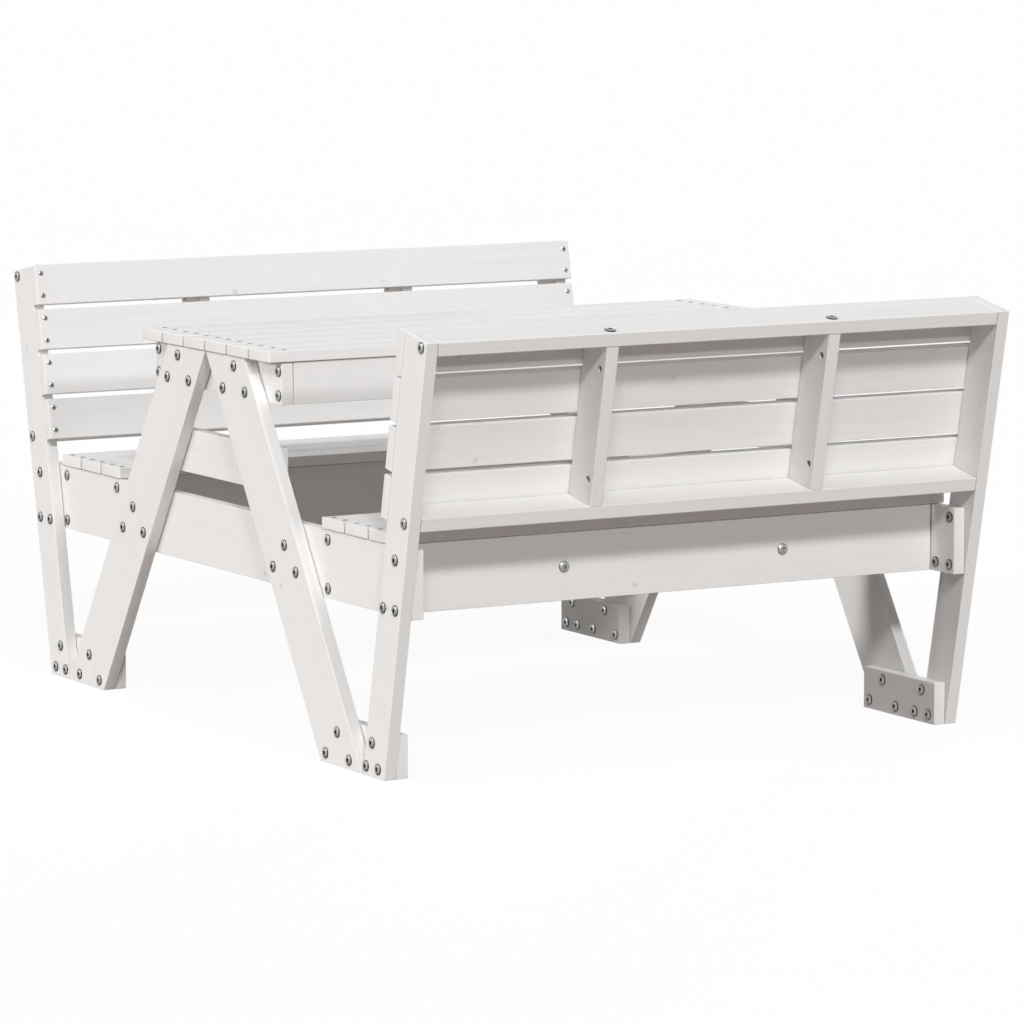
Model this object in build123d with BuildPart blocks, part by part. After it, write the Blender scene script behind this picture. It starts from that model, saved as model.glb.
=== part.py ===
from build123d import *
import os
from math import atan2, cos, radians, sin, tan

# A children's picnic table with two fixed benches, all of softwood boards bolted together, in millimetres.
# X runs along the boards, Y from bench to bench and Z up. The origin is on the floor below the table's middle.
# A side is -1 at the left end and 1 at the right end. A bench is -1 at the front and 1 at the rear.

os.makedirs("parts", exist_ok=True)

# Overall sizes
frame_length = 880  # between the outer faces of the two end frames
table_height = 522
seat_height = 316

# Stock that the pieces are sawn from
frame_thickness = 18  # A-legs and posts
rail_thickness = 18  # seat rails, foot blocks, battens, crossbars, aprons and bearers
board_thickness = 16  # table top and seats
slat_thickness = 18
slat_width = 58
slat_gap = 6
back_rail_thickness = 19
upright_thickness = 18
board_width = 60  # table and seats
board_gap = 4
leg_width = 96
post_width = 57
seat_rail_height = 90
batten_height = 57
foot_block_height = 58
crossbar_height = 60
edge_easing = 1.5

# Layout
leg_spread = 324  # from the middle to a leg's inner corner on the floor
post_lean = 11.4  # degrees from upright
table_board_count = 6
seat_board_count = 3
slat_count = 4
table_overhang = 4  # boards past the table aprons
board_end_overhang = 2  # table boards past the legs' faces, and seat boards past the seat rails'
seat_front_overhang = 5  # boards past the front apron
seat_rear_overhang = 3  # boards past the rear apron
seat_clearance = 18.5  # between a seat's top and the lowest slat of its back
crossbar_rise = 31.5  # clear height between seat rail and crossbar
crossbar_setback = 16  # from the legs' outer edges to the crossbar's ends
bottom_rail_setback = 1  # from the lowest slat's edge up to the bottom rail
upright_spacing = 335

# Fasteners, on one drilling pitch
bolt_pitch = 32
bolt_radius = 3
hole_clearance = 0.3
head_radius = 7.4
head_height = 3
head_taper = 35  # degrees
head_clearance = 0.5  # between a head and the piece beside it
leg_triangle_rise = 4  # above its lower row, where a leg's bolt triangle is centred on the leg
post_column_offset = 2  # behind the post's middle line, where its rear bolts go through the rail
foot_bolt_reach = 26.5  # from the leg and post's meeting line to the post's foot bolts
connector_reach = 40  # how far a connector bolt goes into end grain
back_bolt_inset = 13  # from the posts' rear faces
barrel_radius = 5
barrel_length = 12
shank_sides = 6
head_sides = 8
nut_sides = 6

# Places that follow from the sizes
half_length = frame_length / 2
frame_inset = frame_thickness
rail_inset = frame_thickness + rail_thickness
inner_half = half_length - rail_inset
frame_half = half_length - frame_inset
board_pitch = board_width + board_gap
slat_pitch = slat_width + slat_gap
hole_radius = bolt_radius + hole_clearance
bore_depth = connector_reach + hole_clearance

leg_top = table_height - board_thickness
leg_lean = atan2(leg_spread, leg_top)
leg_run = leg_width / cos(leg_lean)
foot_meet = leg_spread + leg_run

lean = radians(post_lean)
post_run = post_width / cos(lean)
back_span = slat_count * slat_pitch - slat_gap
back_height = seat_height + seat_clearance + back_span * cos(lean)
post_top_front = foot_meet + tan(lean) * back_height
bottom_rail_top = back_span - bottom_rail_setback - back_rail_thickness
back_bolt_depth = post_width - back_bolt_inset

rail_top = seat_height - board_thickness
rail_bottom = rail_top - seat_rail_height
rail_middle = rail_top - seat_rail_height / 2
rail_half = foot_meet + post_run + tan(lean) * rail_bottom
crossbar_bottom = rail_top + crossbar_rise
crossbar_top = crossbar_bottom + crossbar_height

table_half = (table_board_count * board_pitch - board_gap) / 2
batten_half = table_half - table_overhang
batten_middle = leg_top - batten_height / 2
table_apron_middle = batten_half - rail_thickness / 2


def leg_middle(height):
    return leg_spread + leg_run / 2 - tan(leg_lean) * height


def post_front(height):
    return foot_meet + tan(lean) * height


rear_apron_middle = post_front(rail_middle - bolt_pitch) - head_radius - head_clearance
seat_rear = rear_apron_middle + rail_thickness / 2 + seat_rear_overhang
seat_front = seat_rear - seat_board_count * board_pitch + board_gap
front_apron_middle = seat_front + seat_front_overhang + rail_thickness / 2
crossbar_half = leg_middle(crossbar_top) + leg_run / 2 - crossbar_setback


# Planes to draw on


def end_face(x, facing):
    """A plane across X at x. Its own x runs along Y times facing, and its own y runs up."""
    return Plane(origin=(x, 0, 0), x_dir=(0, facing, 0), z_dir=(facing, 0, 0))


def long_face(y, facing):
    """A plane across Y at y. Its own x runs along X against facing, and its own y runs up."""
    return Plane(origin=(0, y, 0), x_dir=(-facing, 0, 0), z_dir=(0, facing, 0))


def back_face(bench):
    """The posts' front faces. Its own x runs along X times bench, and its own y up the posts from their tops."""
    return Plane(
        origin=(0, bench * post_top_front, back_height),
        x_dir=(bench, 0, 0),
        z_dir=(0, -bench * cos(lean), sin(lean)),
    )


def post_section(bench, distance, facing):
    """A plane across the posts, at a distance below their tops, that faces up or down them."""
    return Plane(
        origin=(0, bench * (post_top_front - distance * sin(lean)), back_height - distance * cos(lean)),
        x_dir=(1, 0, 0),
        z_dir=(0, facing * bench * sin(lean), facing * cos(lean)),
    )


# Bolt places, as distances from the middle and heights


def leg_bolts(lower_row):
    centre = leg_middle(lower_row + leg_triangle_rise)
    return [
        (centre - bolt_pitch, lower_row),
        (centre + bolt_pitch, lower_row),
        (centre, lower_row + bolt_pitch),
    ]


foot_row = foot_block_height / 2 - bolt_pitch / 2
leg_foot_bolts = leg_bolts(foot_row)
leg_rail_bolts = leg_bolts(rail_middle - bolt_pitch / 2)
leg_top_bolts = leg_bolts(batten_middle - bolt_pitch / 2)

foot_column = foot_meet + foot_bolt_reach
post_foot_bolts = [
    (foot_column - bolt_pitch / 2, foot_row),
    (foot_column + bolt_pitch / 2, foot_row),
    (foot_column, foot_row + bolt_pitch),
]

post_column = post_front(rail_middle + bolt_pitch) + post_run / 2 + post_column_offset
post_rail_bolts = [
    (post_column, rail_middle + bolt_pitch),
    (post_column, rail_middle - bolt_pitch),
    (post_column - bolt_pitch, rail_middle - bolt_pitch),
]


def back_place(distance, depth):
    """A point in a back's own section: distance down the posts and depth behind their front faces."""
    return (
        post_top_front - distance * sin(lean) + depth * cos(lean),
        back_height - distance * cos(lean) - depth * sin(lean),
    )


top_rail_bolt = back_place(back_rail_thickness / 2, back_bolt_depth)
bottom_rail_bolt = back_place(bottom_rail_top + back_rail_thickness / 2, back_bolt_depth)
post_back_bolts = [top_rail_bolt, bottom_rail_bolt]

batten_rows = [batten_middle - bolt_pitch / 2, batten_middle + bolt_pitch / 2]
apron_rows = [rail_middle - bolt_pitch, rail_middle + bolt_pitch]
table_apron_bolts = [(table_apron_middle, row) for row in batten_rows]
front_apron_bolts = [(front_apron_middle, row) for row in apron_rows]
rear_apron_bolts = [(rear_apron_middle, row) for row in apron_rows]
upright_places = [-upright_spacing / 2, upright_spacing / 2]
barrel_places = [back_rail_thickness + bolt_pitch, bottom_rail_top - bolt_pitch]


# Operations that many pieces share


def mirrored(points):
    """The same places on both benches."""
    return [(bench * y, z) for bench in (-1, 1) for y, z in points]


def turned(points, sign):
    """Places along Y and Z as an end face's own coordinates."""
    return [(sign * y, z) for y, z in points]


def drill(plane, points, depth, radius=hole_radius):
    """Bolt holes from a plane into the piece behind it."""
    with BuildSketch(plane) as holes:
        with Locations(*points):
            RegularPolygon(radius, shank_sides)
    extrude(holes.sketch, amount=-depth, mode=Mode.SUBTRACT)


def bolts(plane, points, grip):
    """Bolts whose heads lie on a plane, with shanks that go back through it."""
    with BuildSketch(plane) as shanks:
        with Locations(*points):
            RegularPolygon(bolt_radius, shank_sides)
    extrude(shanks.sketch, amount=-grip)
    with BuildSketch(plane) as heads:
        with Locations(*points):
            RegularPolygon(head_radius, head_sides)
    extrude(heads.sketch, amount=head_height, taper=head_taper)


def ease(piece):
    """Takes the sharpness off the four long edges."""
    chamfer(piece.edges().sort_by(SortBy.LENGTH)[-4:], edge_easing)


def side_name(side):
    return "left" if side < 0 else "right"


def bench_name(bench):
    return "front" if bench < 0 else "rear"


def finish(piece, name):
    piece.part.label = name
    export_step(piece.part, f"parts/{name}.step")


# End frames: A-legs, backrest posts and foot blocks
for side in (-1, 1):
    outer_face = end_face(side * half_length, side)
    middle_face = end_face(side * frame_half, side)
    inner_face = end_face(side * inner_half, -side)
    for bench in (-1, 1):
        sign = side * bench
        corner_name = f"{side_name(side)}_{bench_name(bench)}"

        with BuildPart() as a_leg:
            with BuildSketch(outer_face):
                with BuildLine():
                    Polyline(
                        (sign * leg_spread, 0),
                        (sign * foot_meet, 0),
                        (sign * leg_run, leg_top),
                        (0, leg_top),
                        close=True,
                    )
                make_face()
            extrude(amount=-frame_thickness)
            ease(a_leg)
            leg_holes = leg_foot_bolts + leg_rail_bolts + leg_top_bolts
            drill(outer_face, turned(leg_holes, sign), frame_thickness)
        finish(a_leg, f"a_leg_{corner_name}")

        with BuildPart() as post:
            top_rear, top_rear_height = back_place(0, post_width)
            with BuildSketch(outer_face):
                with BuildLine():
                    Polyline(
                        (sign * foot_meet, 0),
                        (sign * (foot_meet + post_run), 0),
                        (sign * top_rear, top_rear_height),
                        (sign * post_top_front, back_height),
                        close=True,
                    )
                make_face()
            extrude(amount=-frame_thickness)
            ease(post)
            post_holes = post_foot_bolts + post_rail_bolts + post_back_bolts
            drill(outer_face, turned(post_holes, sign), frame_thickness)
        finish(post, f"post_{corner_name}")

        with BuildPart() as foot_block:
            foot_length = foot_meet + post_run - leg_spread
            with BuildSketch(middle_face):
                with Locations((sign * (leg_spread + foot_length / 2), foot_block_height / 2)):
                    Rectangle(foot_length, foot_block_height)
            extrude(amount=-rail_thickness)
            ease(foot_block)
            drill(middle_face, turned(leg_foot_bolts + post_foot_bolts, sign), rail_thickness)
        finish(foot_block, f"foot_block_{corner_name}")

    # Members that cross an end frame from bench to bench
    with BuildPart() as seat_rail:
        with BuildSketch(middle_face):
            with Locations((0, rail_middle)):
                Rectangle(2 * rail_half, seat_rail_height)
        extrude(amount=-rail_thickness)
        ease(seat_rail)
        rail_holes = leg_rail_bolts + post_rail_bolts + front_apron_bolts + rear_apron_bolts
        drill(middle_face, mirrored(rail_holes), rail_thickness)
    finish(seat_rail, f"seat_rail_{side_name(side)}")

    with BuildPart() as table_batten:
        with BuildSketch(middle_face):
            with Locations((0, batten_middle)):
                Rectangle(2 * batten_half, batten_height)
        extrude(amount=-rail_thickness)
        ease(table_batten)
        drill(middle_face, mirrored(leg_top_bolts + table_apron_bolts), rail_thickness)
    finish(table_batten, f"table_batten_{side_name(side)}")

    with BuildPart() as crossbar:
        with BuildSketch(middle_face):
            with Locations((0, crossbar_bottom + crossbar_height / 2)):
                Rectangle(2 * crossbar_half, crossbar_height)
        extrude(amount=-rail_thickness)
        ease(crossbar)
    finish(crossbar, f"crossbar_{side_name(side)}")

# Table top
for number in range(table_board_count):
    with BuildPart() as table_board:
        board_middle = -table_half + board_width / 2 + number * board_pitch
        with BuildSketch(Plane.XY.offset(leg_top)):
            with Locations((0, board_middle)):
                Rectangle(frame_length + 2 * board_end_overhang, board_width)
        extrude(amount=board_thickness)
        ease(table_board)
    finish(table_board, f"table_board_{number + 1}")

for bench in (-1, 1):
    with BuildPart() as table_apron:
        with BuildSketch(long_face(bench * batten_half, bench)):
            with Locations((0, batten_middle)):
                Rectangle(2 * inner_half, batten_height)
        extrude(amount=-rail_thickness)
        ease(table_apron)
        for side in (-1, 1):
            end_bores = [(side * bench * y, z) for y, z in table_apron_bolts]
            drill(end_face(side * inner_half, side), end_bores, bore_depth)
    finish(table_apron, f"table_apron_{bench_name(bench)}")

# Seats: boards, aprons and bearers
for bench in (-1, 1):
    for number in range(seat_board_count):
        with BuildPart() as seat_board:
            board_middle = seat_front + board_width / 2 + number * board_pitch
            with BuildSketch(Plane.XY.offset(rail_top)):
                with Locations((0, bench * board_middle)):
                    Rectangle(2 * (frame_half + board_end_overhang), board_width)
            extrude(amount=board_thickness)
            ease(seat_board)
        finish(seat_board, f"seat_board_{bench_name(bench)}_{number + 1}")

    aprons = {
        "front": (front_apron_middle, -1, front_apron_bolts),
        "rear": (rear_apron_middle, 1, rear_apron_bolts),
    }
    for edge, (apron_middle, outward, apron_bolts) in aprons.items():
        apron_face = long_face(bench * (apron_middle + outward * rail_thickness / 2), bench * outward)
        with BuildPart() as seat_apron:
            with BuildSketch(apron_face):
                with Locations((0, rail_middle)):
                    Rectangle(2 * inner_half, seat_rail_height)
            extrude(amount=-rail_thickness)
            ease(seat_apron)
            for side in (-1, 1):
                end_bores = [(side * bench * y, z) for y, z in apron_bolts]
                drill(end_face(side * inner_half, side), end_bores, bore_depth)
            drill(apron_face, [(place, rail_middle) for place in upright_places], rail_thickness)
        finish(seat_apron, f"seat_apron_{bench_name(bench)}_{edge}_edge")

    bearer_front = front_apron_middle + rail_thickness / 2
    bearer_rear = rear_apron_middle - rail_thickness / 2
    for side, place in zip((-1, 1), upright_places):
        with BuildPart() as seat_bearer:
            with BuildSketch(long_face(bench * bearer_rear, bench)):
                with Locations((-bench * place, rail_middle)):
                    Rectangle(rail_thickness, seat_rail_height)
            extrude(amount=bearer_front - bearer_rear)
            ease(seat_bearer)
            for end, facing in ((bearer_front, -bench), (bearer_rear, bench)):
                drill(long_face(bench * end, facing), [(-facing * place, rail_middle)], bore_depth)
        finish(seat_bearer, f"seat_bearer_{bench_name(bench)}_{side_name(side)}")

# Backrests: slats, rails and uprights
for bench in (-1, 1):
    for number in range(slat_count):
        with BuildPart() as back_slat:
            with BuildSketch(back_face(bench)):
                with Locations((0, -slat_width / 2 - number * slat_pitch)):
                    Rectangle(frame_length, slat_width)
            extrude(amount=slat_thickness)
            ease(back_slat)
        finish(back_slat, f"back_slat_{bench_name(bench)}_{number + 1}")

    back_rails = {
        "top": (0, 1, top_rail_bolt),
        "bottom": (bottom_rail_top, -1, bottom_rail_bolt),
    }
    for edge, (rail_start, facing, end_bolt) in back_rails.items():
        with BuildPart() as back_rail:
            with BuildSketch(back_face(bench)):
                with Locations((0, -rail_start - back_rail_thickness / 2)):
                    Rectangle(2 * frame_half, back_rail_thickness)
            extrude(amount=-post_width)
            ease(back_rail)
            for side in (-1, 1):
                end_bore = (side * bench * end_bolt[0], end_bolt[1])
                drill(end_face(side * frame_half, side), [end_bore], bore_depth)
            head_face = post_section(bench, 0 if facing > 0 else bottom_rail_top + back_rail_thickness, facing)
            through = [(place, facing * bench * back_bolt_depth) for place in upright_places]
            drill(head_face, through, back_rail_thickness)
        finish(back_rail, f"back_{edge}_rail_{bench_name(bench)}")

    for side, place in zip((-1, 1), upright_places):
        with BuildPart() as back_upright:
            upright_length = bottom_rail_top - back_rail_thickness
            with BuildSketch(back_face(bench)):
                with Locations((bench * place, -back_rail_thickness - upright_length / 2)):
                    Rectangle(upright_thickness, upright_length)
            extrude(amount=-post_width)
            ease(back_upright)
            for distance, facing in ((back_rail_thickness, 1), (bottom_rail_top, -1)):
                end_bore = (place, facing * bench * back_bolt_depth)
                drill(post_section(bench, distance, facing), [end_bore], bore_depth)
            barrel_face = end_face(place - upright_thickness / 2, -1)
            barrel_holes = [back_place(distance, back_bolt_depth) for distance in barrel_places]
            drill(
                barrel_face,
                turned(barrel_holes, -bench),
                (upright_thickness + barrel_length) / 2,
                barrel_radius + hole_clearance,
            )
        finish(back_upright, f"back_upright_{bench_name(bench)}_{side_name(side)}")

# Through bolts of the end frames, and their cap nuts
frame_bolt_places = mirrored(
    leg_foot_bolts + leg_rail_bolts + leg_top_bolts + post_foot_bolts + post_rail_bolts
)
with BuildPart() as frame_bolts:
    for side in (-1, 1):
        places = turned(frame_bolt_places, side)
        bolts(end_face(side * half_length, side), places, rail_inset)
finish(frame_bolts, "frame_bolts")

with BuildPart() as frame_nuts:
    for side in (-1, 1):
        with BuildSketch(end_face(side * inner_half, -side)):
            with Locations(*turned(frame_bolt_places, -side)):
                RegularPolygon(head_radius, nut_sides)
        extrude(amount=head_height)
finish(frame_nuts, "frame_nuts")

# Connector bolts into end grain, and the barrel nuts of the uprights
with BuildPart() as connector_bolts:
    for side in (-1, 1):
        rail_places = mirrored(table_apron_bolts + front_apron_bolts + rear_apron_bolts)
        bolts(end_face(side * frame_half, side), turned(rail_places, side), rail_thickness + connector_reach)
        post_places = turned(mirrored(post_back_bolts), side)
        bolts(end_face(side * half_length, side), post_places, frame_thickness + connector_reach)
    for bench in (-1, 1):
        bearer_places = [(place, rail_middle) for place in upright_places]
        apron_grip = rail_thickness + connector_reach
        bolts(long_face(bench * (front_apron_middle - rail_thickness / 2), -bench), bearer_places, apron_grip)
        bolts(long_face(bench * (rear_apron_middle + rail_thickness / 2), bench), bearer_places, apron_grip)
        for distance, facing in ((0, 1), (bottom_rail_top + back_rail_thickness, -1)):
            upright_bolts = [(place, facing * bench * back_bolt_depth) for place in upright_places]
            rail_grip = back_rail_thickness + connector_reach
            bolts(post_section(bench, distance, facing), upright_bolts, rail_grip)
finish(connector_bolts, "connector_bolts")

with BuildPart() as barrel_nuts:
    for bench in (-1, 1):
        for place in upright_places:
            barrel_ends = [back_place(distance, back_bolt_depth) for distance in barrel_places]
            with BuildSketch(end_face(place - barrel_length / 2, -1)):
                with Locations(*turned(barrel_ends, -bench)):
                    RegularPolygon(barrel_radius, shank_sides)
            extrude(amount=-barrel_length)
        for distance, facing in ((0, 1), (bottom_rail_top + back_rail_thickness, -1)):
            threads = [(place, facing * bench * back_bolt_depth) for place in upright_places]
            drill(post_section(bench, distance, facing), threads, back_rail_thickness + bore_depth)
finish(barrel_nuts, "barrel_nuts")
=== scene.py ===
from functools import partial

import bpy
import numpy as np
from mathutils import Matrix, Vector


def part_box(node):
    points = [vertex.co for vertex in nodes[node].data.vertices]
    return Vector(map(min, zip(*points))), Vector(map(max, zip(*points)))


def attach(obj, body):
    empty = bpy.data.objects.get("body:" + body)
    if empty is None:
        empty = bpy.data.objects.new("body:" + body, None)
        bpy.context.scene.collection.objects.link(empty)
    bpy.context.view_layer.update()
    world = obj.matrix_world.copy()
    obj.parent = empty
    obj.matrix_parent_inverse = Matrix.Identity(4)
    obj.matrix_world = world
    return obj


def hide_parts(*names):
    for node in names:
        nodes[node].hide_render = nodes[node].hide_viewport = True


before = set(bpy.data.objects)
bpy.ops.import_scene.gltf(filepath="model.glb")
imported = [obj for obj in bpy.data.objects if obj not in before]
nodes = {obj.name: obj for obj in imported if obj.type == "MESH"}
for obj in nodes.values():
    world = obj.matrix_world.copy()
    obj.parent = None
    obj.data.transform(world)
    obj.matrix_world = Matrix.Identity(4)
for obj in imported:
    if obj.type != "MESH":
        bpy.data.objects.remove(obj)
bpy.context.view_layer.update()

mm = 0.001
scene = bpy.context.scene
dice = np.random.default_rng(32)
print("frame loaded:", len(nodes), "nodes")


# sRGB hex to the linear values that shaders take
def linear(hexColour):
    srgb = np.array([int(hexColour[i:i + 2], 16) for i in (1, 3, 5)]) / 255
    flat = np.where(srgb <= 0.04045, srgb / 12.92, ((srgb + 0.055) / 1.055) ** 2.4)
    return (*flat.tolist(), 1.0)


# adds one node: inputs are values or sockets to link, by name or in order, and settings are its properties.
# It gives back the output that is asked for, or else the node.
def addNode(tree, kind, inputs=(), output=None, **settings):
    made = tree.nodes.new("ShaderNode" + kind)
    for key, value in settings.items():
        setattr(made, key, value)
    for socket, value in inputs.items() if isinstance(inputs, dict) else enumerate(inputs):
        if isinstance(value, bpy.types.NodeSocket):
            tree.links.new(value, made.inputs[socket])
        else:
            made.inputs[socket].default_value = value
    return made if output is None else made.outputs[output]


# an empty material, and addNode tied to its tree
def newMaterial(name):
    material = bpy.data.materials.new(name)
    material.use_nodes = True
    material.node_tree.nodes.clear()
    return material, partial(addNode, material.node_tree)


# Painted pine: planed softwood under a white satin coat. The coat hides the colour of the wood, growth rings
# and fibres print through it faintly, and a few small knots show as soft grey-brown spots.
pine = {
    "paint": "#ECEBEA",
    "ring": "#DAD6D3",
    "stain": "#A5988D",
    "ringSpacing": 6.0,  # mm between growth rings
    "lateWood": (0.25, 0.88, 0.99),  # shares of a ring at which it sets in, is darkest and has ended
    "ringShow": 0.2,
    "wander": 6.0,  # mm that the rings leave their circles by
    "wanderRoom": (340, 60, 60),  # mm along, across and through, for one wave of that
    "patches": 1.7,  # thin patches of the coat for each such wave
    "patchNoise": (0.38, 0.68),  # noise at which rings begin to show, and show in full
    "fibreRoom": (90, 1.1, 1.1),  # mm, for one streak
    "fibreNoise": (0.5, 0.78),
    "fibreShow": 0.09,
    "knotRoom": (230, 60, 60),  # mm, for one possible knot
    "knotScatter": 0.8,
    "knotRadius": 4.6,  # mm
    "knotLength": 1.4,  # times its width
    "knotHalo": 0.5,  # share of the radius within which the outer stain is full
    "knotPith": 0.45,  # share of the radius at which the darker middle begins
    "knotShare": 0.2,  # share of the rooms that hold one
    "knotShow": 0.4,
    "roughness": (0.56, 0.7),
    "ior": 1.48,
    "gloss": 0.12,  # 0.5 gives all of the mirror light that this IOR has, and a matted coat has less
    "relief": 0.2,  # mm
    "reliefShow": 0.3,
    "ringRelief": 0.6,  # depth of the rings, that of the fibres being 1
}


# grainFrom gives a socket with millimetres along, across and through the board, from the heart of the tree
def paintedPine(name, grainFrom):
    material, add = newMaterial(name)
    grain = grainFrom(add)

    # rings: distance from the heart, with a slow wander along the board, then late wood that ends sharply
    slow = add("VectorMath", (grain, pine["wanderRoom"]), "Vector", operation="DIVIDE")
    wander = add("TexNoise", {"Vector": slow, "Scale": 1.0, "Detail": 2.0}, "Fac")
    section = add("VectorMath", (grain, (0, 1, 1)), "Vector", operation="MULTIPLY")
    reach = add("VectorMath", (section,), "Value", operation="LENGTH")
    bent = add("Math", (wander, 2 * pine["wander"], reach), 0, operation="MULTIPLY_ADD")
    count = add("Math", (bent, pine["ringSpacing"]), 0, operation="DIVIDE")
    late = add("ValToRGB", (add("Math", (count,), 0, operation="FRACT"),))
    bands = late.color_ramp.elements
    bands[0].position, bands[1].position, ended = pine["lateWood"]
    bands[0].color, bands[1].color = (0, 0, 0, 1), (1, 1, 1, 1)
    bands.new(ended).color = (0, 0, 0, 1)

    # patches where the coat is thinner, so that the rings show more
    thin = add("TexNoise", {"Vector": slow, "Scale": pine["patches"], "Detail": 3.0}, "Fac")
    patch = add("MapRange", (thin, *pine["patchNoise"]), 0)
    rings = add("Math", (late.outputs[0], patch), 0, operation="MULTIPLY")

    fine = add("VectorMath", (grain, pine["fibreRoom"]), "Vector", operation="DIVIDE")
    fibre = add("TexNoise", {"Vector": fine, "Scale": 1.0, "Detail": 4.0, "Roughness": 0.6}, "Fac")
    streaks = add("MapRange", (fibre, *pine["fibreNoise"]), 0)

    # knots: branches through the board, around scattered points of which only some hold one, a little longer
    # than wide, with a darker middle
    room = add("VectorMath", (grain, pine["knotRoom"]), "Vector", operation="DIVIDE")
    cells = add("TexVoronoi", {"Vector": room, "Scale": 1.0, "Randomness": pine["knotScatter"]})
    lot = add("SeparateColor", (cells.outputs["Color"],), 0)
    chosen = add("Math", (lot, pine["knotShare"]), 0, operation="LESS_THAN")
    offset = add("VectorMath", (room, cells.outputs["Position"]), "Vector", operation="SUBTRACT")
    oval = (pine["knotRoom"][0] / pine["knotLength"], pine["knotRoom"][1], 0)
    inFace = add("VectorMath", (offset, oval), "Vector", operation="MULTIPLY")
    away = add("VectorMath", (inFace,), "Value", operation="LENGTH")
    radius = pine["knotRadius"]
    halo = add("MapRange", (away, radius, pine["knotHalo"] * radius, 0.0, 0.5), 0,
               interpolation_type="SMOOTHSTEP")
    pith = add("MapRange", (away, pine["knotPith"] * radius, 0.0, 0.0, 0.5), 0,
               interpolation_type="SMOOTHSTEP")
    spot = add("Math", (halo, pith), 0, operation="ADD")
    knots = add("Math", (spot, chosen), 0, operation="MULTIPLY")

    colour = linear(pine["paint"])
    prints = ((rings, "ringShow", "ring"), (streaks, "fibreShow", "ring"), (knots, "knotShow", "stain"))
    for pattern, show, tint in prints:
        share = add("Math", (pattern, pine[show]), 0, operation="MULTIPLY")
        colour = add("Mix", {0: share, 6: colour, 7: linear(pine[tint])}, 2, data_type="RGBA")

    height = add("Math", (rings, pine["ringRelief"], streaks), 0, operation="MULTIPLY_ADD")
    bump = add("Bump", {"Strength": pine["reliefShow"], "Distance": pine["relief"] * mm, "Height": height}, 0)
    sheen = add("MapRange", (fibre, 0.0, 1.0, *pine["roughness"]), 0)
    coat = add("BsdfPrincipled", {"Base Color": colour, "Roughness": sheen, "IOR": pine["ior"],
                                  "Specular IOR Level": pine["gloss"], "Normal": bump}, 0)
    add("OutputMaterial", {"Surface": coat})
    return material


def boardGrain(add):
    return add("Attribute", output="Vector", attribute_name="grain")


paintedBoard = paintedPine("painted pine", boardGrain)
print("painted pine ready")


# quads of a grid of rings that closes around, with a face over its first and its last ring. They face up where
# the rings widen from a middle, and flip turns them outwards on a tube.
def gridFaces(rings, around, flip=False):
    u, v = np.meshgrid(np.arange(rings - 1), np.arange(around), indexing="ij")
    nextV = (v + 1) % around
    quads = np.stack([u * around + v, (u + 1) * around + v, (u + 1) * around + nextV, u * around + nextV], -1)
    quads = quads.reshape(-1, 4)
    first = np.arange(around)
    caps = np.stack([first, (rings - 1) * around + first[::-1]])
    return (quads[:, [0, 3, 2, 1]], caps[:, ::-1]) if flip else (quads, caps)


# A board with eased edges: rings of a rounded rectangle carried along its length. At both ends the ring's corner
# radius and its setback follow a quarter circle, so ends and long edges have one rounding. An end cut on the
# skew is slid along by its slope times the place across. Half a seam is left off all round, so joints show.
easing = {"steps": 4, "first": 0.06, "halfSeam": 0.5}  # first is the end ring's turn, in radians


def boardSurface(width, thickness, start, end, startSlope, endSlope, rounding):
    seam = easing["halfSeam"]
    width, thickness = width - 2 * seam, thickness - 2 * seam
    start, end = start + seam * np.hypot(1, startSlope), end - seam * np.hypot(1, endSlope)
    turn = np.linspace(easing["first"], np.pi / 2, easing["steps"])
    corner = np.linspace(0, np.pi / 2, easing["steps"])
    theta = np.concatenate([corner + quarter * np.pi / 2 for quarter in range(4)])
    signs = np.repeat([[1, 1], [-1, 1], [-1, -1], [1, -1]], easing["steps"], axis=0)
    middle = signs * (np.array([width, thickness]) / 2 - rounding)

    swell = np.concatenate([np.sin(turn), np.sin(turn[::-1])])[:, None]
    facing = np.concatenate([np.cos(turn), np.cos(turn[::-1])])[:, None]
    atStart = (np.arange(2 * easing["steps"]) < easing["steps"])[:, None]
    across = middle[:, 0] + rounding * swell * np.cos(theta)
    through = middle[:, 1] + rounding * swell * np.sin(theta)
    setback = rounding * (1 - facing)
    along = np.where(atStart, start + setback + startSlope * across, end - setback + endSlope * across)
    points = np.stack([along, across, through], -1)

    startOut = np.array([-1, startSlope, 0]) / np.hypot(1, startSlope)
    endOut = np.array([1, -endSlope, 0]) / np.hypot(1, endSlope)
    sideways = np.stack([np.zeros_like(theta), np.cos(theta), np.sin(theta)], -1)
    normals = facing[..., None] * np.where(atStart[..., None], startOut, endOut) + swell[..., None] * sideways
    normals /= np.linalg.norm(normals, axis=-1, keepdims=True)
    quads, caps = gridFaces(*along.shape, flip=True)
    return points.reshape(-1, 3), quads.tolist() + caps.tolist(), normals.reshape(-1, 3)


# puts a piece into the scene, riding on the frame
def addPiece(name, points, faces, material, replaced):
    mesh = bpy.data.meshes.new(name)
    mesh.from_pydata((points * mm).tolist(), [], faces)
    piece = bpy.data.objects.new(name, mesh)
    scene.collection.objects.link(piece)
    mesh.materials.append(material)
    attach(piece, "root")
    if replaced:
        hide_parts(replaced)
    return piece


# where the heart of the tree lay from a board's middle, in mm: along, across, and above or below
heartRange = {"along": (0, 9000), "across": (-18, 18), "off": (18, 70)}


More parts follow.
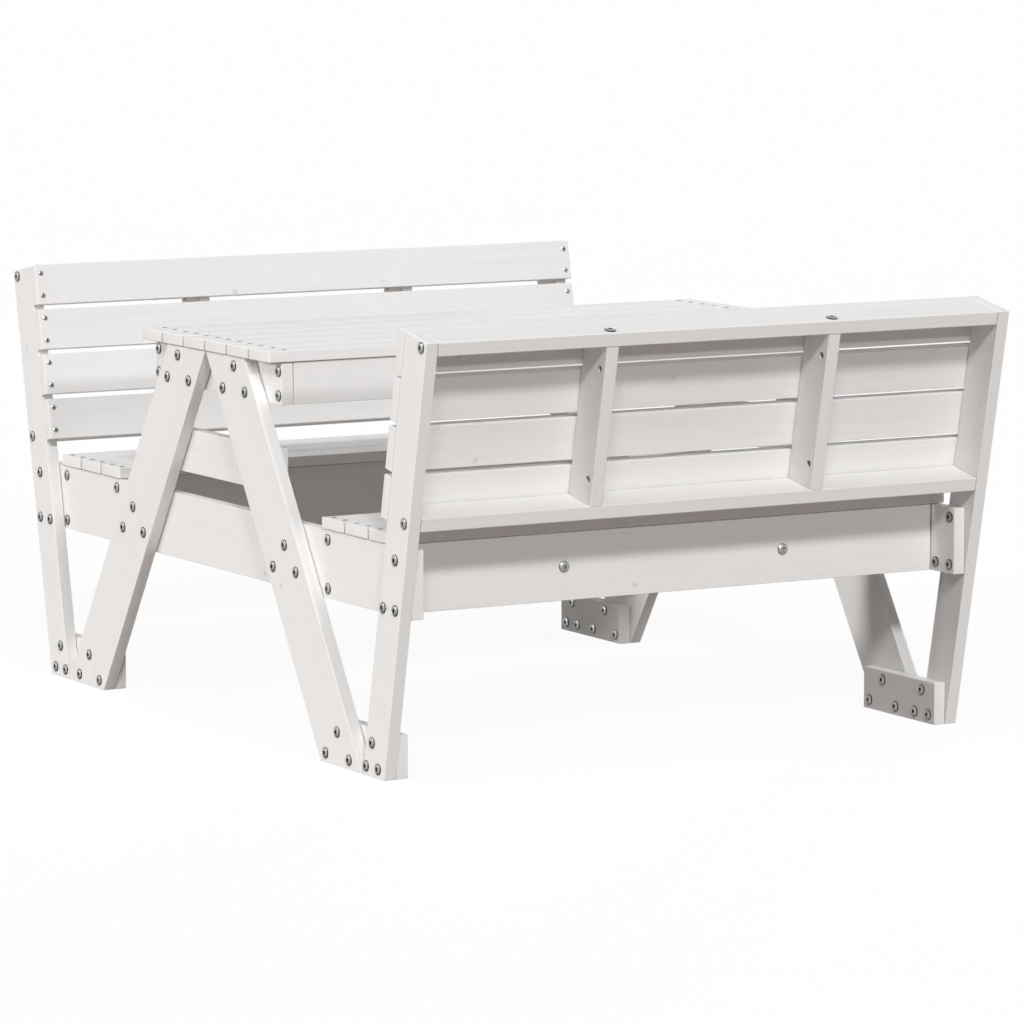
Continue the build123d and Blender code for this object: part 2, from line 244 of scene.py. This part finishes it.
# a board in place: origin in mm, axes along and across, and its surface in the board's own frame
def addBoard(node, origin, alongAxis, acrossAxis, surface):
    points, faces, normals = surface
    axes = np.array([alongAxis, acrossAxis, np.cross(alongAxis, acrossAxis)], float)
    piece = addPiece(node + "_painted", points @ axes + origin, faces, paintedBoard, node)
    piece.data.shade_smooth()
    piece.data.normals_split_custom_set_from_vertices((normals @ axes).tolist())
    heart = np.array([dice.uniform(*heartRange["along"]), dice.uniform(*heartRange["across"]),
                      dice.choice([-1, 1]) * dice.uniform(*heartRange["off"])])
    grain = piece.data.attributes.new("grain", "FLOAT_VECTOR", "POINT")
    grain.data.foreach_set("vector", (points + heart).astype(np.float32).ravel())


def nodeBox(node):
    low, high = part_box(node)
    return np.array(low) / mm, np.array(high) / mm


# a square-cut board that fills its node's box, along X or Y
def addSquareBoard(node, lengthAxis, rounding):
    low, high = nodeBox(node)
    size = high - low
    others = sorted({0, 1, 2} - {lengthAxis}, key=lambda axis: -size[axis])
    axes = np.eye(3)
    half = size[lengthAxis] / 2
    surface = boardSurface(size[others[0]], size[others[1]], -half, half, 0, 0, rounding)
    addBoard(node, (low + high) / 2, axes[lengthAxis], axes[others[0]], surface)


# Table top and seats
flatBoards = {"along": 0, "rounding": 1.3}
for node in sorted(nodes):
    if node.startswith(("table_board", "seat_board")):
        addSquareBoard(node, flatBoards["along"], flatBoards["rounding"])

# Aprons lie along the boards, and rails, battens, crossbars, bearers and foot blocks across them
stretchers = {"along": 0, "rounding": 0.8}
crossMembers = {"along": 1, "rounding": 0.8}
for node in sorted(nodes):
    if node.startswith(("table_apron", "seat_apron")):
        addSquareBoard(node, stretchers["along"], stretchers["rounding"])
    if node.startswith(("seat_rail", "table_batten", "crossbar", "seat_bearer", "foot_block")):
        addSquareBoard(node, crossMembers["along"], crossMembers["rounding"])

# A-legs: both ends cut level
legs = {"width": 96, "footInner": 324, "rounding": 0.9}
legLow, legHigh = nodeBox("a_leg_right_rear")
legLean = np.arctan2(legs["footInner"], legHigh[2])
legRun = legs["width"] / np.cos(legLean)

# Posts: level foot, square top
posts = {"width": 57, "lean": np.radians(11.4), "rounding": 0.9}
postLow, postHigh = nodeBox("post_right_rear")
lean = posts["lean"]
sinLean, cosLean, tanLean = np.sin(lean), np.cos(lean), np.tan(lean)
footMeet = postLow[1]
postTop = postHigh[2]
postTopFront = footMeet + tanLean * postTop

sides = {"left": -1, "right": 1}
benches = {"front": -1, "rear": 1}
frameThickness = legHigh[0] - legLow[0]
for sideName, side in sides.items():
    for benchName, bench in benches.items():
        frameMiddle = side * (legLow[0] + legHigh[0]) / 2
        up = (0, -bench * np.sin(legLean), np.cos(legLean))
        out = (0, bench * np.cos(legLean), np.sin(legLean))
        slope = -np.tan(legLean)
        legOrigin = np.array([frameMiddle, bench * (legs["footInner"] + legRun / 2), 0])
        legSurface = boardSurface(legs["width"], frameThickness, 0, legHigh[2] / np.cos(legLean), slope, slope,
                                  legs["rounding"])
        addBoard(f"a_leg_{sideName}_{benchName}", legOrigin, up, out, legSurface)

        up = (0, bench * sinLean, cosLean)
        out = (0, bench * cosLean, -sinLean)
        halfWidth = posts["width"] / 2
        topMiddle = np.array([frameMiddle, bench * (postTopFront + halfWidth * cosLean),
                              postTop - halfWidth * sinLean])
        postSurface = boardSurface(posts["width"], frameThickness, -topMiddle[2] / cosLean, 0, tanLean, 0,
                                   posts["rounding"])
        addBoard(f"post_{sideName}_{benchName}", topMiddle, up, out, postSurface)

# Backrests lean with the posts: slats on edge, rails flat, with a seam between the slats and the rails' fronts
slats = {"width": 58, "gap": 6, "thickness": 18, "count": 4, "rounding": 0.9}
backRails = {"thickness": 19, "setback": 1, "frontSeam": 1.0, "rounding": 1.2}
for benchName, bench in benches.items():
    up = (0, bench * sinLean, cosLean)
    out = (0, bench * cosLean, -sinLean)
    for number in range(slats["count"]):
        node = f"back_slat_{benchName}_{number + 1}"
        low, high = nodeBox(node)
        half = (high[0] - low[0]) / 2
        surface = boardSurface(slats["width"], slats["thickness"], -half, half, 0, 0, slats["rounding"])
        addBoard(node, (low + high) / 2, (1, 0, 0), up, surface)
    for edge in ("top", "bottom"):
        node = f"back_{edge}_rail_{benchName}"
        low, high = nodeBox(node)
        half = (high[0] - low[0]) / 2
        depth = posts["width"] - backRails["frontSeam"]
        middle = (low + high) / 2 + np.array(out) * backRails["frontSeam"] / 2
        surface = boardSurface(depth, backRails["thickness"], -half, half, 0, 0, backRails["rounding"])
        addBoard(node, middle, (1, 0, 0), out, surface)
print("boards, legs, posts and backs made")


# Uprights keep their solids, whose cross holes show. The grain runs up the lean, so the frame's own coordinates
# are turned about X by it.
def uprightGrain(bench):
    def grainFrom(add):
        place = add("TexCoord", output="Object")
        turned = add("Mapping", {"Vector": place, "Rotation": (bench * lean, 0, 0)}, 0, vector_type="POINT")
        x, y, z = add("SeparateXYZ", (turned,)).outputs
        return add("VectorMath", (add("CombineXYZ", (z, y, x), 0), (1 / mm,) * 3), 0, operation="MULTIPLY")
    return grainFrom


for benchName, bench in benches.items():
    uprightPine = paintedPine(f"painted pine upright {benchName}", uprightGrain(bench))
    for sideName in sides:
        upright = nodes[f"back_upright_{benchName}_{sideName}"]
        upright.data.materials.clear()
        upright.data.materials.append(uprightPine)
print("uprights finished")

# Zinc-plated steel: turned and tumbled, bright but not polished, so its highlights are soft.
# Shade is painted on as a dark colour where a piece's own attribute says so: in sockets and recesses,
# around the rims and on the lower sides of heads.
zinc = {
    "colour": "#B4B4B2",
    "worn": "#8E8E8C",
    # dark colour of the painted shade
    "paintedShade": "#2B2927",
    "roughness": (0.22, 0.4),
    "grit": 0.6,  # mm, for one blotch
    "crease": 42,  # degrees past which an edge stays sharp
}


# the share of painted shade: one value for the whole piece, or None to take it from the piece's attribute
def zincSteel(name, paintedShade=None):
    material, add = newMaterial(name)
    place = add("TexCoord", output="Object")
    blotch = add("TexNoise", {"Vector": place, "Scale": 1 / (zinc["grit"] * mm), "Detail": 3.0}, "Fac")
    if paintedShade is None:
        paintedShade = add("Attribute", output="Fac", attribute_name="paintedShade")
    plate = add("Mix", {0: blotch, 6: linear(zinc["colour"]), 7: linear(zinc["worn"])}, 2, data_type="RGBA")
    tone = add("Mix", {0: paintedShade, 6: plate, 7: linear(zinc["paintedShade"])}, 2, data_type="RGBA")
    dull = add("MapRange", (blotch, 0.0, 1.0, *zinc["roughness"]), 0)
    steel = add("BsdfPrincipled", {"Base Color": tone, "Metallic": 1.0, "Roughness": dull}, 0)
    add("OutputMaterial", {"Surface": steel})
    return material


zincPlate = zincSteel("zinc-plated steel")

# A bolt head: a low dome on a round rim, with a hexagonal socket. Rings run from the socket's floor up its wall,
# then from the hexagon out to the rim's circle, on height = dome * (1 - (radius / rim)^power), and back below.
boltHead = {
    "radius": 7.4,
    "edge": 0.8,
    "dome": 1.5,
    "power": 2.2,
    "socket": 5.4,
    "socketDepth": 1.7,
    "socketTaper": 0.97,  # its floor to its mouth
    "sink": 0.6,
    "around": 24,
    "rings": (0, 0.06, 0.3, 0.55, 0.78, 0.92, 1.0),  # from the hexagon to the rim
    "pole": 0.02,  # size of the small faces that close the middle
}
# painted shade on the rings, darkest in the socket and at the rim: socket floor twice, socket edge to rim,
# then the rim's foot and underside
headShade = {
    "frame": (0.8, 0.8, 0.5, 0.05, 0, 0, 0.05, 0.45, 1, 1, 1),
    "connector": (0.4, 0.4, 0.25, 0.05, 0, 0, 0.05, 0.35, 0.9, 1, 1),
}


def headSurface(spec, paintedShade):
    theta = np.arange(spec["around"]) * 2 * np.pi / spec["around"]
    flat = np.pi / 3
    hexagon = spec["socket"] / 2 / np.cos((theta + flat / 2) % flat - flat / 2)
    radius = hexagon + (spec["radius"] - hexagon) * np.array(spec["rings"])[:, None]
    height = spec["edge"] + spec["dome"] * (1 - (radius / spec["radius"]) ** spec["power"])
    floor = np.full(spec["around"], height[0].max() - spec["socketDepth"])
    rim = np.full(spec["around"], spec["radius"])
    radius = np.vstack([hexagon * spec["pole"], hexagon * spec["socketTaper"], radius, rim, rim * spec["pole"]])
    height = np.vstack([floor, floor, height, np.full((2, spec["around"]), -spec["sink"])])
    points = np.stack([radius * np.cos(theta), radius * np.sin(theta), height], -1)
    return points, gridFaces(*radius.shape), np.repeat(paintedShade, spec["around"])


# Painted shade on the lower side of a head, darker towards the bottom: from and to are shares of its radius
# below the middle, and the rest says how much of it each kind of head has there
lowerSideShade = {"from": 0.25, "to": 0.75, "bolts": 0.8, "nuts": 0.6, "connectors": 0.3, "screws": 0.0}


# copies of one surface, each turned so that its height lies along a facing, and spun at random about it
def addCopies(name, surface, places, facings, lowerShadeShare, replaced):
    points, (quads, caps), paintedShade = surface
    points = points.reshape(-1, 3)
    places, facings = np.array(places, float), np.array(facings, float)
    helper = np.where(np.abs(facings[:, :1]) > 0.9, [[0, 0, 1]], [[1, 0, 0]])
    first = np.cross(helper, facings)
    first /= np.linalg.norm(first, axis=1, keepdims=True)
    second = np.cross(facings, first)
    spin = dice.uniform(0, 2 * np.pi, len(places))[:, None]
    axes = np.stack([first * np.cos(spin) + second * np.sin(spin),
                     second * np.cos(spin) - first * np.sin(spin), facings], 1)
    copies = places[:, None] + np.einsum("pk,nkc->npc", points, axes)
    shift = np.arange(len(places))[:, None, None] * len(points)
    faces = (quads[None] + shift).reshape(-1, 4).tolist()
    for cap in caps:
        faces += (cap[None] + shift[:, :, 0]).tolist()
    piece = addPiece(name, copies.reshape(-1, 3), faces, zincPlate, replaced)
    piece.data.shade_smooth()
    piece.data.set_sharp_from_angle(angle=np.radians(zinc["crease"]))
    # painted shade: darker on each head's lower side, added to the surface's own painted shade in sockets and at
    # rims
    below = (places[:, None, 2] - copies[..., 2]) / np.abs(points[:, :2]).max()
    lowerShade = np.clip((below - lowerSideShade["from"]) / (lowerSideShade["to"] - lowerSideShade["from"]), 0, 1) * lowerShadeShare
    shadeLayer = piece.data.attributes.new("paintedShade", "FLOAT", "POINT")
    shadeLayer.data.foreach_set("value", np.maximum(paintedShade, lowerShade).ravel().astype(np.float32))


# Bolt places repeat the part's own: one pitch, rows about the middle of each rail, and triangles on the legs
bolting = {"pitch": 32, "legRise": 4, "postOffset": 2, "footReach": 26.5, "backInset": 13, "uprightHalf": 167.5}
pitch = bolting["pitch"]
railLow, railHigh = nodeBox("seat_rail_right")
battenLow, battenHigh = nodeBox("table_batten_right")
blockLow, blockHigh = nodeBox("foot_block_right_rear")
railMiddle = (railLow[2] + railHigh[2]) / 2
battenMiddle = (battenLow[2] + battenHigh[2]) / 2
footRow = (blockHigh[2] - pitch) / 2
outerX, middleX, innerX = legHigh[0], railHigh[0], railLow[0]


def legTriangle(row):
    centre = legs["footInner"] + legRun / 2 - np.tan(legLean) * (row + bolting["legRise"])
    return [(centre - pitch, row), (centre + pitch, row), (centre, row + pitch)]


footColumn = footMeet + bolting["footReach"]
postColumn = footMeet + tanLean * (railMiddle + pitch) + posts["width"] / cosLean / 2 + bolting["postOffset"]
throughBolts = [
    *legTriangle(footRow), *legTriangle(railMiddle - pitch / 2), *legTriangle(battenMiddle - pitch / 2),
    (footColumn - pitch / 2, footRow), (footColumn + pitch / 2, footRow), (footColumn, footRow + pitch),
    (postColumn, railMiddle + pitch), (postColumn, railMiddle - pitch),
    (postColumn - pitch, railMiddle - pitch),
]


def apronMiddle(node):
    low, high = nodeBox(node)
    return (low[1] + high[1]) / 2


tableApron = apronMiddle("table_apron_rear")
frontApron = apronMiddle("seat_apron_rear_front_edge")
rearApron = apronMiddle("seat_apron_rear_rear_edge")
railBolts = [(tableApron, battenMiddle - pitch / 2), (tableApron, battenMiddle + pitch / 2)]
railBolts += [(middle, railMiddle + step) for middle in (frontApron, rearApron) for step in (-pitch, pitch)]


# a place in a backrest's own section: distance down the posts and depth behind their front faces
def backPlace(distance, depth):
    return (postTopFront - distance * sinLean + depth * cosLean, postTop - distance * cosLean - depth * sinLean)


backDepth = posts["width"] - bolting["backInset"]
backSpan = slats["count"] * (slats["width"] + slats["gap"]) - slats["gap"]
bottomRailTop = backSpan - backRails["setback"] - backRails["thickness"]
backBolts = [backPlace(start + backRails["thickness"] / 2, backDepth) for start in (0, bottomRailTop)]

boltPlaces, boltFacings, nutPlaces, nutFacings, connectorPlaces, connectorFacings = [], [], [], [], [], []
apronHalf = (railHigh[0] - railLow[0]) / 2
for bench in benches.values():
    for side in sides.values():
        boltPlaces += [(side * outerX, bench * y, z) for y, z in throughBolts]
        nutPlaces += [(side * innerX, bench * y, z) for y, z in throughBolts]
        boltFacings += [(side, 0, 0)] * len(throughBolts)
        nutFacings += [(-side, 0, 0)] * len(throughBolts)
        connectorPlaces += [(side * middleX, bench * y, z) for y, z in railBolts]
        connectorPlaces += [(side * outerX, bench * y, z) for y, z in backBolts]
        connectorFacings += [(side, 0, 0)] * (len(railBolts) + len(backBolts))
        x = side * bolting["uprightHalf"]
        for middle, outward in ((frontApron, -1), (rearApron, 1)):
            connectorPlaces.append((x, bench * (middle + outward * apronHalf), railMiddle))
            connectorFacings.append((0, bench * outward, 0))
        for distance, facing in ((0, 1), (bottomRailTop + backRails["thickness"], -1)):
            y, z = backPlace(distance, backDepth)
            connectorPlaces.append((x, bench * y, z))
            connectorFacings.append((0, facing * bench * sinLean, facing * cosLean))
frameHead = headSurface(boltHead, headShade["frame"])
connectorHead = headSurface(boltHead, headShade["connector"])
addCopies("frame_bolt_heads", frameHead, boltPlaces, boltFacings, lowerSideShade["bolts"], "frame_bolts")
addCopies("frame_cap_nuts", frameHead, nutPlaces, nutFacings, lowerSideShade["nuts"], "frame_nuts")
addCopies("connector_heads", connectorHead, connectorPlaces, connectorFacings, lowerSideShade["connectors"],
          "connector_bolts")
print("bolts and nuts made:", len(boltPlaces) + len(nutPlaces) + len(connectorPlaces))

# Wood screws: raised heads with a cross recess. Rings of radius, on a dome less the recess where either arm of
# the cross covers the point. The last two rings close the head below.
screwHead = {
    "radius": 3.8,
    "edge": 0.15,
    "dome": 0.9,
    "arm": 2.2,
    "armWidth": 0.6,
    "recess": 0.9,
    "sink": 0.9,
    "around": 32,
    "rings": (0.02, 0.12, 0.22, 0.34, 0.46, 0.56, 0.66, 0.8, 0.92, 1.0, 1.0, 0.02),
    "rimFrom": 0.95,  # share of the radius past which shade is painted on the rim
    "rimShade": 0.8,
}


def screwSurface(spec):
    theta = np.arange(spec["around"]) * 2 * np.pi / spec["around"]
    radius = spec["radius"] * np.array(spec["rings"])[:, None]
    height = spec["edge"] + spec["dome"] * (1 - (radius / spec["radius"]) ** 2)
    height[-2:] = -spec["sink"]
    x, y = np.abs(radius * np.cos(theta)), np.abs(radius * np.sin(theta))
    inArm = (np.minimum(x, y) < spec["armWidth"]) & (np.maximum(x, y) < spec["arm"])
    inArm[-3:] = False
    height = height - spec["recess"] * inArm - easing["halfSeam"]
    points = np.stack([radius * np.cos(theta), radius * np.sin(theta), height], -1)
    # painted shade in the cross recess and on the rim
    paintedShade = np.maximum(inArm, (radius > spec["rimFrom"] * spec["radius"]) * spec["rimShade"])
    return points, gridFaces(len(radius), spec["around"]), paintedShade.ravel()


# rows of screws from the middle of the table, and those of a crossbar from its middle, in mm
screwing = {"batten": 413, "post": 431, "crossbarUp": 16}
screwPlaces, screwFacings = [], []
for node in sorted(nodes):
    if node.startswith(("table_board", "seat_board")):
        low, high = nodeBox(node)
        for side in sides.values():
            for step in (-pitch / 2, pitch / 2):
                screwPlaces.append((side * screwing["batten"], (low[1] + high[1]) / 2 + step, high[2]))
                screwFacings.append((0, 0, 1))
    if node.startswith("back_slat"):
        low, high = nodeBox(node)
        bench = 1 if low[1] > 0 else -1
        front = np.array([0, -bench * cosLean, sinLean])
        up = np.array([0, bench * sinLean, cosLean])
        for side in sides.values():
            for step in (-pitch / 2, pitch / 2):
                place = (low + high) / 2 + front * slats["thickness"] / 2 + up * step
                screwPlaces.append((side * screwing["post"], place[1], place[2]))
                screwFacings.append(front)
    if node.startswith("crossbar"):
        low, high = nodeBox(node)
        side = 1 if low[0] > 0 else -1
        inner = low[0] if side > 0 else high[0]
        for bench in benches.values():
            for step in (-screwing["crossbarUp"], screwing["crossbarUp"]):
                row = (low[2] + high[2]) / 2 + step
                onLeg = legs["footInner"] + legRun / 2 - np.tan(legLean) * row
                screwPlaces.append((inner, bench * min(onLeg, high[1] - pitch / 2), row))
                screwFacings.append((-side, 0, 0))
addCopies("wood_screw_heads", screwSurface(screwHead), screwPlaces, screwFacings, lowerSideShade["screws"], None)
print("screws made:", len(screwPlaces))

# Barrel nuts: plain round ends, a little below the uprights' faces, painted dark for the shade in their holes
barrelLook = {"paintedShade": 0.75}
barrels = nodes["barrel_nuts"]
barrels.data.materials.clear()
barrels.data.materials.append(zincSteel("zinc-plated steel with painted hole shade", barrelLook["paintedShade"]))

# Floor: pale and matt. The camera, and metal that mirrors it, see it as nearly white with a faint shadow. To the
# light that it throws back on the wood it is a warm mid-grey, so that undersides stay dark.
floorLook = {
    "white": "#FFFFFF",
    "whitened": 0.93,  # share of what the camera sees that takes no shadow
    "colour": "#9A908A",
    "speck": "#968C86",
    "specks": 3.0,  # in a metre
    "size": 160,  # m
}


# 1 for rays from the camera, from a mirror-like surface or through glass
def seenDirectly(add):
    path = add("LightPath").outputs
    seen = add("Math", (path["Is Camera Ray"], path["Is Glossy Ray"]), 0, operation="MAXIMUM")
    return add("Math", (seen, path["Is Transmission Ray"]), 0, operation="MAXIMUM")


def paleFloor():
    material, add = newMaterial("pale matt floor")
    seen = seenDirectly(add)
    white, colour, speck = [linear(floorLook[key]) for key in ("white", "colour", "speck")]
    dust = add("TexNoise", {"Vector": add("TexCoord", output="Object"), "Scale": floorLook["specks"]}, "Fac")
    shade = add("Mix", {0: dust, 6: colour, 7: speck}, 2, data_type="RGBA")
    bright = add("Mix", {0: seen, 6: shade, 7: white}, 2, data_type="RGBA")
    matt = add("BsdfDiffuse", {"Color": bright}, 0)
    glow = add("Emission", {"Color": white, "Strength": 1.0}, 0)
    share = add("Math", (seen, floorLook["whitened"]), 0, operation="MULTIPLY")
    add("OutputMaterial", {"Surface": add("MixShader", (share, matt, glow), 0)})
    return material


half = floorLook["size"] / 2
corners = [(-half, -half, 0), (half, -half, 0), (half, half, 0), (-half, half, 0)]
floorMesh = bpy.data.meshes.new("floor")
floorMesh.from_pydata(corners, [], [(0, 1, 2, 3)])
floorMesh.materials.append(paleFloor())
floor = bpy.data.objects.new("floor", floorMesh)
scene.collection.objects.link(floor)

# Studio light: far lamps, high and low in front and at the left, and weaker ones behind, in a dim white room.
# Each has a turn from the front (-Y) towards the left (-X), a height and a width in degrees, and a strength.
room = {"colour": "#FFFFFF", "strength": 0.21}
lamps = {
    "front": {"turn": 0, "height": 39.3, "wide": 7, "strength": 0.2},
    "frontMiddle": {"turn": 20, "height": 37.8, "wide": 7, "strength": 1.12},
    "frontLeft": {"turn": 35, "height": 34.0, "wide": 7, "strength": 0.47},
    "lowFront": {"turn": 0, "height": 18.4, "wide": 3, "strength": 0.6},
    "left": {"turn": 85, "height": 42.4, "wide": 10, "strength": 0.6},
    "lowLeft": {"turn": 90, "height": 15.5, "wide": 4, "strength": 1.0},
    "backLeft": {"turn": 120, "height": 15, "wide": 10, "strength": 0.35},
    "backRight": {"turn": 225, "height": 6, "wide": 6, "strength": 1.2},
}
world = bpy.data.worlds.new("white room")
scene.world = world
world.use_nodes = True
world.node_tree.nodes.clear()
add = partial(addNode, world.node_tree)
level = add("MapRange", {0: seenDirectly(add), 3: room["strength"], 4: 1.0}, 0)
sky = add("Background", {"Color": linear(room["colour"]), "Strength": level}, 0)
add("OutputWorld", {"Surface": sky})
for name, lamp in lamps.items():
    light = bpy.data.lights.new(name, "SUN")
    light.angle = np.radians(lamp["wide"])
    light.energy = lamp["strength"]
    lampObject = bpy.data.objects.new(name, light)
    lampObject.rotation_euler = (np.radians(90 - lamp["height"]), 0, np.radians(-lamp["turn"]))
    scene.collection.objects.link(lampObject)

# Camera: fitted to the photograph's edges
view = {
    "place": (-3656.71, -6410.02, 1222.20),  # mm
    "yaw": 29.9293,  # degrees
    "pitch": 7.4255,  # degrees down
    "focalPixels": 5380.44,
    "frame": 1024,  # pixels
    "sensor": 36,  # mm
    "farthest": 200,  # m
}
yaw, dip = np.radians(view["yaw"]), np.radians(view["pitch"])
forward = np.array([np.cos(dip) * np.sin(yaw), np.cos(dip) * np.cos(yaw), -np.sin(dip)])
right = np.array([np.cos(yaw), -np.sin(yaw), 0])
camera = bpy.data.objects.new("camera", bpy.data.cameras.new("camera"))
camera.data.sensor_width = view["sensor"]
camera.data.lens = view["focalPixels"] / view["frame"] * view["sensor"]
camera.data.clip_end = view["farthest"]
turn = Matrix(np.stack([right, np.cross(right, forward), -forward], 1).tolist())
camera.matrix_world = Matrix.Translation(np.array(view["place"]) * mm) @ turn.to_4x4()
scene.collection.objects.link(camera)
scene.camera = camera
scene.view_settings.view_transform = "Standard"
print("stage, light and camera set")
